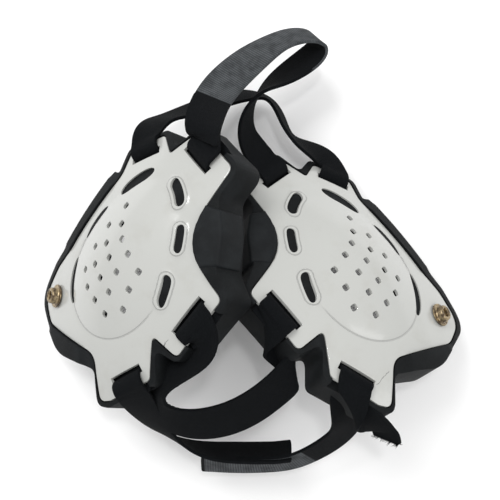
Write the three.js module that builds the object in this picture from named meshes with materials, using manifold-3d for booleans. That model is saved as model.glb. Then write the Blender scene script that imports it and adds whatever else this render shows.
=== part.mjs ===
import * as THREE from 'three';
import { mergeVertices } from 'three/addons/utils/BufferGeometryUtils.js';
import Module from 'manifold-3d';

const wasm = await Module();
wasm.setup();

// Wrestling ear guard lying on a surface, outer faces up. Millimetres, +Z up.
// A cup has its own frame: p runs towards the back of the head, q up along the ear, h outwards.
// Its origin is the top of the dome. The right cup is the left one mirrored in p.

// Driving sizes of a cup
const shellWall = 2;
const domeHalfWidth = 34.5;
const domeHalfHeight = 46.5;
const domeTaper = 0.11;
const domeRise = 5.5;
const domeShoulder = 0.8;
const bendRadiusAcross = 136;
const bendRadiusAlong = 260;
const foamThickness = 18;
const foamLip = 0.6;
const hollowHalfWidth = 27;
const hollowHalfHeight = 37;
const hollowCentreQ = -1;
const holeSide = 2.6;
const fitGap = 0.35;
const pressGap = 0.9;

// Chin studs: flange, cap and socket
const studP = -33.7;
const studQ = -50.3;
const flangeRadius = 6.7;
const flangeHeight = 1;
const capRadius = 4.5;
const capHeight = 3.8;
const socketRadius = 2.4;
const socketDepth = 2;
const shankRadius = 2;
const shankHoleGap = 1;

// Straps
const strapThickness = 2;
const wideStrap = 22;
const mainStrap = 20;
const frontStrap = 18;
const slotOpening = 4.5;
const slotSideGap = 1;
const strapLayerGap = 0.5;
const strapTail = 13;
const barGap = 1.4;
const barOverhang = 2;

// Slots for the straps, clockwise round the cup seen from outside. out is the heading of the
// bar's outer side in degrees; before and after are the shell left beside the slot at its bar.
const slots = {
  crown: { p: 1.7, q: 65.2, out: 84.5, strap: mainStrap, bar: 8, before: 1.5, after: 8.5 },
  rear: { p: 52.1, q: 0.8, out: -4, strap: wideStrap, bar: 5.7, before: 6, after: 8.5 },
  nape: { p: 39, q: -48.1, out: -29, strap: mainStrap, bar: 5.5, before: 1.5, after: 7 },
  front: { p: -31.3, q: 47.4, out: 141.8, strap: frontStrap, bar: 5.5, before: 1.5, after: 3 },
};

// Edge of the hard shell, clockwise: plain corners, and the corners of the four bars
const shellCorners = [
  { p: -15.5, q: 57.3, radius: 2 },
  { slot: 'crown', side: 'before', radius: 2 },
  { slot: 'crown', side: 'after', radius: 5 },
  { p: 0.8 * domeHalfWidth, q: 0.635 * domeHalfHeight, radius: 36 },
  { slot: 'rear', side: 'before', radius: 4 },
  { slot: 'rear', side: 'after', radius: 3 },
  { p: 41.3, q: -19.5, radius: 2.5 },
  { slot: 'nape', side: 'before', radius: 3.5 },
  { slot: 'nape', side: 'after', radius: 3 },
  { p: 31, q: -72.5, radius: 3.5 },
  { p: 15.5, q: -53, radius: 9 },
  { p: -30, q: -66.5, radius: 14 },
  { p: -49, q: -61, radius: 11 },
  { p: -48, q: -40, radius: 9 },
  { p: -43, q: -24, radius: 12 },
  { p: -37.5, q: 30, radius: 14 },
  { slot: 'front', side: 'before', radius: 3 },
  { slot: 'front', side: 'after', radius: 3 },
];

// Edge of the foam pad, clockwise, with its bulges in the three hollows of the shell's edge.
// rim is how far the foam reaches past a bar's corner.
const foamCorners = [
  { p: -14.5, q: 62, radius: 4 },
  { slot: 'crown', side: 'before', rim: 2.8, radius: 4 },
  { slot: 'crown', side: 'after', rim: 3.5, radius: 9 },
  { p: 27.5, q: 58, radius: 8 },
  { p: 39, q: 46.5, radius: 22 },
  { p: 51, q: 29, radius: 7 },
  { slot: 'rear', side: 'before', rim: 3, radius: 6 },
  { slot: 'rear', side: 'after', rim: 2.4, radius: 5 },
  { p: 46, q: -24.5, radius: 4 },
  { slot: 'nape', side: 'before', rim: 3.2, radius: 5 },
  { slot: 'nape', side: 'after', rim: 3.2, radius: 5 },
  { p: 30.5, q: -76, radius: 5 },
  { p: 20, q: -60, radius: 4 },
  { p: -11, q: -73.5, radius: 26 },
  { p: -32, q: -69, radius: 6 },
  { p: -53.5, q: -65, radius: 13 },
  { p: -53.5, q: -40, radius: 9 },
  { p: -49, q: -30.5, radius: 2.5 },
  { p: -44, q: 27.5, radius: 2.5 },
  { p: -41, q: 29.5, radius: 2 },
  { slot: 'front', side: 'before', rim: 3, radius: 5 },
  { slot: 'front', side: 'after', rim: 3, radius: 5 },
];

// Vents round the dome: angles in degrees on its outline, share of the outline's radius at each end
const ventWidth = 4.4;
const leafVentWidth = 6;
const frontVentWidth = 3.2;
const lowVentWidth = 4.6;
const vents = [
  { from: 62, to: 91, shareFrom: 1, shareTo: 1.05, width: ventWidth, blunt: 8 },
  { from: 28, to: 49.5, shareFrom: 1, shareTo: 1, width: ventWidth, blunt: 8 },
  { from: -6, to: 14, shareFrom: 1.06, shareTo: 0.98, width: ventWidth, blunt: 8 },
  { from: 119, to: 149, shareFrom: 1.14, shareTo: 0.99, width: leafVentWidth, blunt: 3 },
  { from: 164, to: 193, shareFrom: 0.97, shareTo: 0.95, width: frontVentWidth, blunt: 4 },
  { from: 208, to: 245, shareFrom: 0.96, shareTo: 1, width: lowVentWidth, blunt: 2.4 },
];

// Small holes through the dome: five curved columns, from the top hole down
const holeColumnBow = 0.8;
const holeColumns = [
  { p: -15, lean: -2.6, q: 22.4, pitch: 14.2, count: 4 },
  { p: -8, lean: -2.1, q: 14.6, pitch: 13.5, count: 4 },
  { p: -0.8, lean: -1.3, q: 9.5, pitch: 12.3, count: 4 },
  { p: 8, lean: -0.9, q: 6.1, pitch: 11.7, count: 4 },
  { p: 18.6, lean: -0.2, q: 2.7, pitch: 11, count: 3 },
];

// How each cup lies: place of the dome's top, heading, pitch and lean in degrees
const cupPoses = {
  left: { x: -71.5, y: -2.3, z: 71, heading: -33.5, pitch: 14, lean: -36.5, mirror: 1 },
  right: { x: 60.5, y: -3.8, z: 56, heading: 36.5, pitch: -8.5, lean: 38, mirror: -1 },
};

// Straps: the slot that they turn round, the cup at their start and finish, or none at a free end,
// and the middle line of the free run. One strap goes through its slot and on into a loose tail.
// Roll is in degrees: 0 lies flat with the outer face up, 90 stands on edge with the outer face to
// the left of the run, and -90 with it to the right.
const straps = [
  { name: 'crown_strap', slot: 'crown', start: 'left', finish: 'right', run: [
    { x: -26, y: 58.5, z: 86, roll: 12 },
    { x: -23.5, y: 68.5, z: 78, roll: 6 },
    { x: -21, y: 78.5, z: 67, roll: 2 },
    { x: -15, y: 89, z: 58, roll: 6 },
    { x: -6.5, y: 98.5, z: 51, roll: 16 },
    { x: 3.5, y: 108, z: 45, roll: 30 },
    { x: 14, y: 117, z: 39, roll: 48 },
    { x: 25.5, y: 123.5, z: 33, roll: 68 },
    { x: 36, y: 126.5, z: 30, roll: 84 },
    { x: 43.5, y: 125, z: 29, roll: 95 },
    { x: 43.5, y: 119.5, z: 28, roll: 108 },
    { x: 35.5, y: 113, z: 28, roll: 122 },
    { x: 25.5, y: 104.5, z: 29, roll: 124 },
    { x: 15, y: 97, z: 31, roll: 116 },
    { x: 4.5, y: 89.5, z: 34, roll: 100 },
    { x: -1.5, y: 80, z: 37, roll: 80 },
    { x: -4, y: 70.5, z: 40, roll: 62 },
    { x: -3.5, y: 61.5, z: 42, roll: 42 },
  ] },
  { name: 'front_strap', slot: 'front', start: 'left', finish: 'right', run: [
    { x: -57.5, y: 64.5, z: 52, roll: 8 },
    { x: -54.5, y: 72, z: 44, roll: 38 },
    { x: -47, y: 74.5, z: 38, roll: 75 },
    { x: -39.5, y: 77, z: 33, roll: 60 },
    { x: -29, y: 82, z: 24, roll: 50 },
    { x: -14.5, y: 89.5, z: 14, roll: 50 },
    { x: 0, y: 93.5, z: 10, roll: 55 },
    { x: 12, y: 93, z: 10, roll: 62 },
    { x: 18, y: 81.5, z: 16, roll: 74 },
    { x: 19.5, y: 69.5, z: 21, roll: 74 },
    { x: 25.5, y: 61, z: 20, roll: 72 },
    { x: 37, y: 59, z: 14, roll: 52 },
    { x: 46, y: 56.5, z: 10.5, roll: 24 },
  ] },
  { name: 'rear_strap', slot: 'rear', start: 'left', finish: 'right', run: [
    { x: -21.5, y: -42, z: 95, roll: -6 },
    { x: -20.5, y: -49.5, z: 92, roll: -18 },
    { x: -25.5, y: -54, z: 81, roll: -46 },
    { x: -33, y: -60, z: 72, roll: -58 },
    { x: -39, y: -66, z: 64, roll: -66 },
    { x: -43, y: -73, z: 59, roll: -74 },
    { x: -42, y: -81, z: 57, roll: -66 },
    { x: -37, y: -87, z: 57, roll: -48 },
    { x: -31, y: -91, z: 58, roll: -34 },
    { x: -15, y: -90, z: 60, roll: -30 },
    { x: 1, y: -83.5, z: 63, roll: -30 },
    { x: 14.5, y: -74, z: 67, roll: -36 },
    { x: 22, y: -66.5, z: 73, roll: -55 },
    { x: 23, y: -59, z: 80, roll: -72 },
    { x: 18.5, y: -62, z: 84.5, roll: -50 },
    { x: 11, y: -56, z: 88.5, roll: -18 },
    { x: 6.5, y: -46, z: 86, roll: -10 },
  ] },
  { name: 'nape_strap_left', slot: 'nape', start: 'left', run: [
    { x: -59.5, y: -77, z: 70, roll: -12 },
    { x: -57, y: -88, z: 56, roll: -32 },
    { x: -49, y: -101, z: 43, roll: -60 },
    { x: -37, y: -111, z: 34, roll: -85 },
    { x: -23, y: -115.5, z: 29, roll: -105 },
    { x: -5.5, y: -116, z: 28, roll: -112 },
    { x: 11.5, y: -116, z: 28, roll: -112 },
    { x: 24, y: -114.5, z: 29, roll: -112 },
  ] },
  { name: 'nape_strap_right', slot: 'nape', through: 'right', run: [
    { x: -26, y: -125.5, z: 24, roll: 114 },
    { x: -8.5, y: -126, z: 24, roll: 114 },
    { x: 8.5, y: -126, z: 25, roll: 114 },
    { x: 24.5, y: -125, z: 27, roll: 114 },
    { x: 36.5, y: -118, z: 30, roll: 114 },
    { x: 46.5, y: -110, z: 35, roll: 118 },
    { x: 54, y: -101, z: 45, roll: 128 },
    { x: 55, y: -89, z: 59, roll: 152 },
    { x: 50, y: -80, z: 69, roll: 172 },
  ], tail: [
    { x: 50, y: -81, z: 81.5, roll: -4 },
    { x: 57.5, y: -88, z: 74, roll: 32 },
    { x: 66.5, y: -91.5, z: 65, roll: 62 },
    { x: 74, y: -98, z: 60, roll: 78 },
  ] },
];

// Mesh resolution
const slabSectors = 24;
const slabRings = [0.45, 0.78, 0.98, 1.06, 1.5, 2.2];
const prismReach = 70;
const cutHeight = 17.5;
const recessReach = 35;
const mostRounding = 0.49;
const cornerSegments = 3;
const ventSegments = 6;
const stepsPerStation = 2;
const lathSegments = 14;

const materials = {
  shell: new THREE.MeshStandardMaterial({ color: '#dfe0dc', roughness: 0.22, metalness: 0 }),
  foam: new THREE.MeshStandardMaterial({ color: '#262829', roughness: 0.85, metalness: 0 }),
  stud: new THREE.MeshStandardMaterial({ color: '#6e5a40', roughness: 0.35, metalness: 0.9 }),
  strap: new THREE.MeshStandardMaterial({ color: '#17191b', roughness: 0.95, metalness: 0 }),
};

const radians = THREE.MathUtils.degToRad;

// Curved surface of the cup: the whole shell bends, and the dome stands on it.
function domeShare(p, q) {
  const halfWidth = domeHalfWidth * (1 - (domeTaper * q) / domeHalfHeight);
  return Math.hypot(p / halfWidth, q / domeHalfHeight);
}

function surfaceHeight(p, q) {
  const bend = (p * p) / (2 * bendRadiusAcross) + (q * q) / (2 * bendRadiusAlong);
  const inside = Math.max(0, 1 - domeShare(p, q) ** 2);
  return domeRise * inside ** domeShoulder - domeRise - bend;
}

function bareNormal(p, q) {
  return new THREE.Vector3(p / bendRadiusAcross, q / bendRadiusAlong, 1).normalize();
}

// Solids to and from the boolean library
function toSolid(geometry) {
  const bare = geometry.clone();
  bare.deleteAttribute('normal');
  bare.deleteAttribute('uv');
  const merged = mergeVertices(bare, 1e-4);
  return new wasm.Manifold(new wasm.Mesh({
    numProp: 3,
    vertProperties: new Float32Array(merged.attributes.position.array),
    triVerts: new Uint32Array(merged.index.array),
  }));
}

function toGeometry(solid) {
  const mesh = solid.getMesh();
  const geometry = new THREE.BufferGeometry();
  geometry.setAttribute('position', new THREE.BufferAttribute(mesh.vertProperties, 3));
  geometry.setIndex(new THREE.BufferAttribute(mesh.triVerts, 1));
  geometry.computeVertexNormals();
  return geometry;
}

// A round sheet between two heights, its rings following the dome
function slab(top, bottom) {
  const positions = [];
  const index = [];
  const heights = [top, bottom];
  heights.forEach((height) => {
    positions.push(0, 0, height(0, 0));
    slabRings.forEach((share) => {
      for (let sector = 0; sector < slabSectors; sector += 1) {
        const angle = (sector / slabSectors) * 2 * Math.PI;
        const q = share * domeHalfHeight * Math.sin(angle);
        const taper = 1 - (domeTaper * q) / domeHalfHeight;
        const p = share * domeHalfWidth * taper * Math.cos(angle);
        positions.push(p, q, height(p, q));
      }
    });
  });
  const layer = 1 + slabRings.length * slabSectors;
  const at = (side, ring, sector) => side * layer + 1 + ring * slabSectors + (sector % slabSectors);
  const last = slabRings.length - 1;
  for (let sector = 0; sector < slabSectors; sector += 1) {
    index.push(0, at(0, 0, sector), at(0, 0, sector + 1));
    index.push(layer, at(1, 0, sector + 1), at(1, 0, sector));
    for (let ring = 0; ring < last; ring += 1) {
      const corners = [[ring, sector], [ring + 1, sector], [ring + 1, sector + 1], [ring, sector + 1]];
      const [a, b, c, d] = corners.map(([r, s]) => at(0, r, s));
      const [e, f, g, h] = corners.map(([r, s]) => at(1, r, s));
      index.push(a, b, c, a, c, d);
      index.push(e, g, f, e, h, g);
    }
    const rim = [at(0, last, sector), at(0, last, sector + 1), at(1, last, sector + 1), at(1, last, sector)];
    index.push(rim[0], rim[3], rim[2], rim[0], rim[2], rim[1]);
  }
  const geometry = new THREE.BufferGeometry();
  geometry.setAttribute('position', new THREE.Float32BufferAttribute(positions, 3));
  geometry.setIndex(index);
  return toSolid(geometry);
}

// Place and directions of a slot on the cup: out across the bar, along it, and away from the head
function slotFrame(slot) {
  const heading = radians(slot.out);
  const normal = bareNormal(slot.p, slot.q);
  const out = new THREE.Vector3(Math.cos(heading), Math.sin(heading), 0);
  out.addScaledVector(normal, -out.dot(normal)).normalize();
  const along = new THREE.Vector3().crossVectors(out, normal);
  const centre = new THREE.Vector3(slot.p, slot.q, surfaceHeight(slot.p, slot.q));
  centre.addScaledVector(normal, -shellWall / 2);
  return { centre, out, along, normal };
}

function cornerPoint(corner) {
  if (!corner.slot) return new THREE.Vector2(corner.p, corner.q);
  const slot = slots[corner.slot];
  const { centre, out, along } = slotFrame(slot);
  const side = corner.side === 'before' ? -1 : 1;
  const rim = corner.rim ?? 0;
  const sideways = side * (slot.strap / 2 + slotSideGap + slot[corner.side] + rim);
  const outwards = slotOpening / 2 + slot.bar + rim;
  const point = centre.clone().addScaledVector(along, sideways).addScaledVector(out, outwards);
  return new THREE.Vector2(point.x, point.y);
}

// Closed outline through corners, each rounded as far as its two sides allow
function roundedShape(corners, grow = 0) {
  const points = corners.map(cornerPoint);
  const count = points.length;
  const shape = new THREE.Shape();
  points.forEach((point, i) => {
    const towardsLast = points[(i + count - 1) % count].clone().sub(point);
    const towardsNext = points[(i + 1) % count].clone().sub(point);
    const halfAngle = Math.abs(towardsLast.angleTo(towardsNext)) / 2;
    const setback = corners[i].radius / Math.tan(halfAngle);
    const start = point.clone().addScaledVector(
      towardsLast.clone().normalize(), Math.min(setback, towardsLast.length() * mostRounding));
    const end = point.clone().addScaledVector(
      towardsNext.clone().normalize(), Math.min(setback, towardsNext.length() * mostRounding));
    if (i === 0) shape.moveTo(start.x, start.y);
    else shape.lineTo(start.x, start.y);
    shape.quadraticCurveTo(point.x, point.y, end.x, end.y);
  });
  shape.closePath();
  return grow === 0 ? shape : grownShape(shape, grow);
}

// The same outline moved outwards by a small distance
function grownShape(shape, grow) {
  const points = shape.getPoints(cornerSegments).filter(
    (point, i, all) => point.distanceTo(all[(i + 1) % all.length]) > 1e-3);
  const turn = THREE.ShapeUtils.isClockWise(points) ? 1 : -1;
  const moved = points.map((point, i) => {
    const before = point.clone().sub(points[(i + points.length - 1) % points.length]).normalize();
    const after = points[(i + 1) % points.length].clone().sub(point).normalize();
    const direction = before.add(after).normalize();
    return new THREE.Vector2(point.x - direction.y * grow * turn, point.y + direction.x * grow * turn);
  });
  return new THREE.Shape(moved);
}

function prism(shape) {
  const geometry = new THREE.ExtrudeGeometry(shape, {
    depth: 2 * prismReach,
    bevelEnabled: false,
    curveSegments: cornerSegments,
  });
  return toSolid(geometry.translate(0, 0, -prismReach));
}

function ellipseShape(halfWidth, halfHeight, centreQ, sides) {
  const points = [];
  for (let i = 0; i < sides; i += 1) {
    const angle = (i / sides) * 2 * Math.PI;
    points.push(new THREE.Vector2(halfWidth * Math.cos(angle), centreQ + halfHeight * Math.sin(angle)));
  }
  return new THREE.Shape(points);
}

// Openings of the shell
function ventPath(vent) {
  const sides = [[], []];
  for (let i = 0; i <= ventSegments; i += 1) {
    const t = i / ventSegments;
    const angle = radians(vent.from + (vent.to - vent.from) * t);
    const share = vent.shareFrom + (vent.shareTo - vent.shareFrom) * t;
    const q = share * domeHalfHeight * Math.sin(angle);
    const p = share * domeHalfWidth * (1 - (domeTaper * q) / domeHalfHeight) * Math.cos(angle);
    const outwards = new THREE.Vector2(Math.cos(angle) / domeHalfWidth, Math.sin(angle) / domeHalfHeight);
    outwards.normalize();
    const half = (vent.width / 2) * (1 - Math.abs(2 * t - 1) ** vent.blunt) ** 0.5;
    sides[0].push(new THREE.Vector2(p + outwards.x * half, q + outwards.y * half));
    if (half > 0) sides[1].push(new THREE.Vector2(p - outwards.x * half, q - outwards.y * half));
  }
  return new THREE.Path([...sides[0], ...sides[1].reverse()]);
}

function holePaths() {
  const half = holeSide / 2;
  return holeColumns.flatMap((column) => Array.from({ length: column.count }, (_, row) => {
    const p = column.p + column.lean * row + holeColumnBow * row * row;
    const q = column.q - column.pitch * row;
    const corners = [[-half, -half], [half, -half], [half, half], [-half, half]];
    return new THREE.Path(corners.map(([dp, dq]) => new THREE.Vector2(p + dp, q + dq)));
  }));
}

function slotPath(slot) {
  const { centre, out, along } = slotFrame(slot);
  const halfLength = slot.strap / 2 + slotSideGap;
  const halfOpening = slotOpening / 2;
  const corners = [[-1, -1], [1, -1], [1, 1], [-1, 1]];
  return new THREE.Path(corners.map(([a, b]) => {
    const corner = centre.clone();
    corner.addScaledVector(along, a * halfLength).addScaledVector(out, b * halfOpening);
    return new THREE.Vector2(corner.x, corner.y);
  }));
}

function shankPath() {
  const path = new THREE.Path();
  path.absarc(studP, studQ, shankRadius + shankHoleGap, 0, 2 * Math.PI);
  return path;
}

function shellGeometry() {
  const outline = roundedShape(shellCorners);
  outline.holes.push(...vents.map(ventPath), ...holePaths(), shankPath());
  outline.holes.push(...Object.values(slots).map(slotPath));
  const sheet = slab(surfaceHeight, (p, q) => surfaceHeight(p, q) - shellWall);
  return toGeometry(sheet.intersect(prism(outline)));
}

// Room in the foam for a strap that turns round a bar
function strapRecess(slot) {
  const { centre, out, along, normal } = slotFrame(slot);
  const layer = strapThickness + strapLayerGap;
  const depth = shellWall / 2 + layer + 2 * fitGap;
  const height = depth + cutHeight;
  const box = new THREE.BoxGeometry(slot.strap + 2 * slotSideGap, recessReach, height);
  const frame = new THREE.Matrix4().makeBasis(along, out, normal);
  const middle = centre.clone();
  middle.addScaledVector(out, recessReach / 2 - slotOpening / 2);
  middle.addScaledVector(normal, height / 2 - depth);
  return toSolid(box.applyMatrix4(frame.setPosition(middle)));
}

function foamGeometry() {
  const top = (p, q) => surfaceHeight(p, q) + foamLip;
  const bottom = (p, q) => surfaceHeight(p, q) - shellWall - foamThickness;
  const seatFloor = (p, q) => surfaceHeight(p, q) - shellWall - fitGap;
  const above = (p, q) => surfaceHeight(p, q) + cutHeight;
  const seat = slab(above, seatFloor).intersect(prism(roundedShape(shellCorners, 2 * fitGap)));
  let foam = slab(top, bottom).intersect(prism(roundedShape(foamCorners)));
  foam = foam.subtract(seat);
  foam = foam.subtract(prism(ellipseShape(hollowHalfWidth, hollowHalfHeight, hollowCentreQ, slabSectors)));
  Object.values(slots).forEach((slot) => {
    foam = foam.subtract(strapRecess(slot));
  });
  return toGeometry(foam);
}

function studGeometry() {
  const shankBottom = -shellWall;
  const profile = [
    [0, shankBottom],
    [shankRadius, shankBottom],
    [shankRadius, 0],
    [flangeRadius, 0],
    [flangeRadius, flangeHeight],
    [capRadius, flangeHeight],
    [capRadius, flangeHeight + capHeight],
    [socketRadius, flangeHeight + capHeight],
    [socketRadius, flangeHeight + capHeight - socketDepth],
    [0, flangeHeight + capHeight - socketDepth],
  ];
  const points = profile.map(([radius, height]) => new THREE.Vector2(radius, height));
  return new THREE.LatheGeometry(points, lathSegments).rotateX(Math.PI / 2);
}

// One cup: shell, foam and stud in the cup's own frame
function makeCup(side) {
  const pose = cupPoses[side];
  const cup = new THREE.Group();
  cup.name = side;
  const shell = new THREE.Mesh(shellGeometry(), materials.shell);
  shell.name = `shell_${side}`;
  const foam = new THREE.Mesh(foamGeometry(), materials.foam);
  foam.name = `foam_pad_${side}`;
  const stud = new THREE.Mesh(studGeometry(), materials.stud);
  stud.name = `chin_stud_${side}`;
  const normal = bareNormal(studP, studQ);
  const lift = fitGap + flangeRadius ** 2 / bendRadiusAcross;
  stud.quaternion.setFromUnitVectors(new THREE.Vector3(0, 0, 1), normal);
  stud.position.set(studP, studQ, surfaceHeight(studP, studQ)).addScaledVector(normal, lift);
  cup.add(shell, foam, stud);
  cup.position.set(pose.x, pose.y, pose.z);
  cup.rotation.set(radians(pose.pitch), radians(pose.lean), radians(pose.heading), 'ZXY');
  cup.scale.set(pose.mirror, 1, 1);
  cup.updateMatrixWorld(true);
  return cup;
}

// A strap's stations round a bar, from under it, up through the slot and out over it. A tucked
// strap starts with its end laid against the foam.
function barStations(cup, slot, tucked) {
  const frame = slotFrame(slot);
  const over = shellWall / 2 + barGap + strapThickness / 2;
  const layered = (strapThickness + strapLayerGap) / 2;
  const barStart = slotOpening / 2;
  const barEnd = barStart + slot.bar;
  const end = [
    [barEnd + strapTail, -layered],
    [barEnd + strapTail / 2, -layered],
  ];
  const turn = [
    [barEnd, -over],
    [barStart, -over],
    [0, 0],
    [barStart, over],
    [barEnd + barOverhang, over],
  ];
  const route = tucked ? [...end, ...turn] : turn;
  const place = ([outwards, upwards]) => frame.centre.clone()
    .addScaledVector(frame.out, outwards)
    .addScaledVector(frame.normal, upwards)
    .applyMatrix4(cup.matrixWorld);
  const out = frame.out.clone().transformDirection(cup.matrixWorld);
  const normal = frame.normal.clone().transformDirection(cup.matrixWorld);
  const across = new THREE.Vector3().crossVectors(normal, out);
  return route.map((point) => ({ centre: place(point), across: across.clone() }));
}

// The same stations walked back, for a strap that arrives at the bar
function arriving(stations) {
  return stations.map(({ centre, across }) => ({ centre, across: across.negate() })).reverse();
}

function runStations(rows, before, after) {
  const centres = rows.map((row) => new THREE.Vector3(row.x, row.y, row.z));
  return rows.map((row, i) => {
    const last = centres[i - 1] ?? before ?? centres[i];
    const next = centres[i + 1] ?? after ?? centres[i];
    const tangent = next.clone().sub(last).normalize();
    const left = new THREE.Vector3(-tangent.y, tangent.x, 0).normalize();
    const up = new THREE.Vector3().crossVectors(tangent, left);
    const roll = radians(row.roll);
    const across = left.multiplyScalar(Math.cos(roll)).addScaledVector(up, -Math.sin(roll));
    return { centre: centres[i], across };
  });
}

// Flat band swept through stations
function bandGeometry(stations, width, thickness) {
  const line = new THREE.CatmullRomCurve3(stations.map((station) => station.centre), false, 'centripetal');
  const sideways = new THREE.CatmullRomCurve3(stations.map((station) => station.across), false, 'centripetal');
  const steps = (stations.length - 1) * stepsPerStation;
  const positions = [];
  const index = [];
  for (let step = 0; step <= steps; step += 1) {
    const t = step / steps;
    const centre = line.getPoint(t);
    const tangent = line.getTangent(t);
    const across = sideways.getPoint(t);
    across.addScaledVector(tangent, -across.dot(tangent)).normalize();
    const outer = new THREE.Vector3().crossVectors(tangent, across);
    [[1, 1], [-1, 1], [-1, -1], [1, -1]].forEach(([a, b]) => {
      const corner = centre.clone();
      corner.addScaledVector(across, (a * width) / 2).addScaledVector(outer, (b * thickness) / 2);
      positions.push(corner.x, corner.y, corner.z);
    });
  }
  for (let step = 0; step < steps; step += 1) {
    for (let side = 0; side < 4; side += 1) {
      const a = step * 4 + side;
      const b = step * 4 + ((side + 1) % 4);
      index.push(a, b, b + 4, a, b + 4, a + 4);
    }
  }
  const end = steps * 4;
  index.push(0, 2, 1, 0, 3, 2);
  index.push(end, end + 1, end + 2, end, end + 2, end + 3);
  const geometry = new THREE.BufferGeometry();
  geometry.setAttribute('position', new THREE.Float32BufferAttribute(positions, 3));
  geometry.setIndex(index);
  geometry.computeVertexNormals();
  return geometry;
}

function strapStations({ slot, start, finish, through, run, tail = [] }) {
  const bar = (side, tucked) => (side ? barStations(cups[side], slots[slot], tucked) : []);
  const leave = bar(start, true);
  const arrive = arriving(bar(finish, true));
  const middle = bar(through, false);
  const next = arrive[0] ?? middle[0];
  const freeRun = runStations(run, leave.at(-1)?.centre, next?.centre);
  const looseTail = runStations(tail, middle.at(-1)?.centre);
  return [...leave, ...freeRun, ...arrive, ...middle, ...looseTail];
}

// The foam gives way where a strap is pressed against it. Only its largest body is kept.
function pressFoam(cup, bands) {
  const foam = cup.getObjectByName(`foam_pad_${cup.name}`);
  const toCup = cup.matrixWorld.clone().invert();
  let solid = toSolid(foam.geometry);
  bands.forEach((band) => {
    solid = solid.subtract(toSolid(band).transform(toCup.elements));
  });
  const bodies = solid.decompose();
  bodies.sort((a, b) => b.volume() - a.volume());
  foam.geometry = toGeometry(bodies[0]);
}

const cups = { left: makeCup('left'), right: makeCup('right') };
const earGuard = new THREE.Group();
earGuard.add(cups.left, cups.right);
const pressed = straps.map((strap) => {
  const stations = strapStations(strap);
  const width = slots[strap.slot].strap;
  const mesh = new THREE.Mesh(bandGeometry(stations, width, strapThickness), materials.strap);
  mesh.name = strap.name;
  earGuard.add(mesh);
  return bandGeometry(stations, width + 2 * pressGap, strapThickness + 2 * pressGap);
});
pressFoam(cups.left, pressed);
pressFoam(cups.right, pressed);

// The origin is the middle of the base
const bounds = new THREE.Box3().setFromObject(earGuard, true);
const middle = bounds.getCenter(new THREE.Vector3());
earGuard.position.set(-middle.x, -middle.y, -bounds.min.z);

export default earGuard;
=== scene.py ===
import random
from math import cos, hypot, pi, radians, sin, sqrt, tan

import bmesh
import bpy
import numpy
from mathutils import Matrix, Vector, noise


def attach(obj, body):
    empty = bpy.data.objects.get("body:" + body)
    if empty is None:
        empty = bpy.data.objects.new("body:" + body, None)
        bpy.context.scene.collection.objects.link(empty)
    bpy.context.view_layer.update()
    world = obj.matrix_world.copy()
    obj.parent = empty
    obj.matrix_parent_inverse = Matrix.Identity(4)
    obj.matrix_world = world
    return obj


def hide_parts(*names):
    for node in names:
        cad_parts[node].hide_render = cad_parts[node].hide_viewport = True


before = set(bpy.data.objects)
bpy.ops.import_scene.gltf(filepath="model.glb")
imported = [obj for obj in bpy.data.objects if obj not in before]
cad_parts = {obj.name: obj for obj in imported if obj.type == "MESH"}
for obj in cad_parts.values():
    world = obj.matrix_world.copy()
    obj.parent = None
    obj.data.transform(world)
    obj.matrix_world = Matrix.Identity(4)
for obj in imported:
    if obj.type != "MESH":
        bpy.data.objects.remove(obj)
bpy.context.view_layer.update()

# Table and camera
# The guard lies on a pale table, and the camera looks straight down at it. The lens and its height
# above the table give the photograph's perspective. Pieces are placed from a base point below it.
mm = 0.001
base = Vector((-0.57, 1.36, 8.35)) * mm
camera_height = 518 * mm
photo_width = 500
focal_pixels = 857
sensor_width = 36
table_half = 1.5

camera_data = bpy.data.cameras.new("camera")
camera_data.sensor_width = sensor_width
camera_data.lens = focal_pixels / photo_width * sensor_width
camera = bpy.data.objects.new("camera", camera_data)
camera.location = base + Vector((0, 0, camera_height))
bpy.context.collection.objects.link(camera)
bpy.context.scene.camera = camera
bpy.context.scene.view_settings.view_transform = "Standard"


class Wire:
    """A value on its way through a material's nodes. Sums and products of it add Math nodes."""

    def __init__(self, tree, socket=None):
        self.tree = tree
        self.socket = socket

    def node(self, kind, settings=None, sockets=None, output=0):
        made = self.tree.nodes.new(kind)
        for name, value in (settings or {}).items():
            setattr(made, name, value)
        for name, value in (sockets or {}).items():
            if isinstance(value, Wire):
                self.tree.links.new(value.socket, made.inputs[name])
            else:
                made.inputs[name].default_value = value
        return Wire(self.tree, made.outputs[output] if made.outputs else None)

    def math(self, operation, *values):
        return self.node("ShaderNodeMath", {"operation": operation}, dict(enumerate(values)))

    def __add__(self, other):
        return self.math("ADD", self, other)

    def __radd__(self, other):
        return self.math("ADD", other, self)

    def __sub__(self, other):
        return self.math("SUBTRACT", self, other)

    def __rsub__(self, other):
        return self.math("SUBTRACT", other, self)

    def __mul__(self, other):
        return self.math("MULTIPLY", self, other)

    def __rmul__(self, other):
        return self.math("MULTIPLY", other, self)

    def __truediv__(self, other):
        return self.math("DIVIDE", self, other)

    def __abs__(self):
        return self.math("ABSOLUTE", self)

    def most(self, other):
        return self.math("MAXIMUM", self, other)

    def root(self):
        return self.math("SQRT", self)

    def wave(self):
        return self.math("SINE", self)

    def fade(self, low, high):
        return self.node(
            "ShaderNodeMapRange",
            {"interpolation_type": "SMOOTHSTEP"},
            {"Value": self, "From Min": low, "From Max": high},
        )

    def tint(self, first, second):
        return self.node("ShaderNodeMix", {"data_type": "RGBA"}, {0: self, 6: first, 7: second}, output=2)

    def parts(self):
        return [self.node("ShaderNodeSeparateXYZ", {}, {"Vector": self}, output=axis) for axis in range(3)]

    def cloud(self, scale, detail=3, roughness=0.5):
        values = {"Vector": self, "Scale": scale, "Detail": detail, "Roughness": roughness}
        return self.node("ShaderNodeTexNoise", {}, values)


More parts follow.
